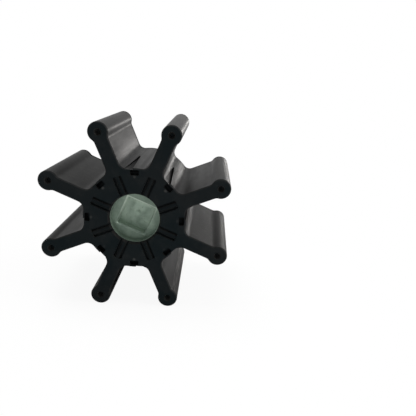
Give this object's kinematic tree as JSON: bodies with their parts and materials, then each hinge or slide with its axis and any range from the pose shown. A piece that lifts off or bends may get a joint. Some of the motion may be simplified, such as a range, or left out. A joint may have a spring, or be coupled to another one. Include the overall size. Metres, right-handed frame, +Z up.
{
  "type": "rubber pump impeller",
  "caption": "Flexible rubber pump impeller with bead-tipped blades, a moulded hub and a metal insert with a square drive socket and a keyed shaft bore.",
  "frame": {"origin": "middle of the shaft axis, halfway along the width", "axes": "+Y along the shaft axis, out of the shaft bore; -Y out of the square drive socket; +Z up, with two blade tips level under the hub"},
  "size_m": [0.0606, 0.042, 0.0606],
  "materials": {
    "moulded_rubber": "black moulded rubber, satin, slightly mottled",
    "insert_metal": "dull greenish-grey copper alloy, turned, lightly tarnished"
  },
  "bodies": {
    "root": {"rubber_body": "moulded_rubber", "drive_insert": "insert_metal"}
  },
  "joints": []
}
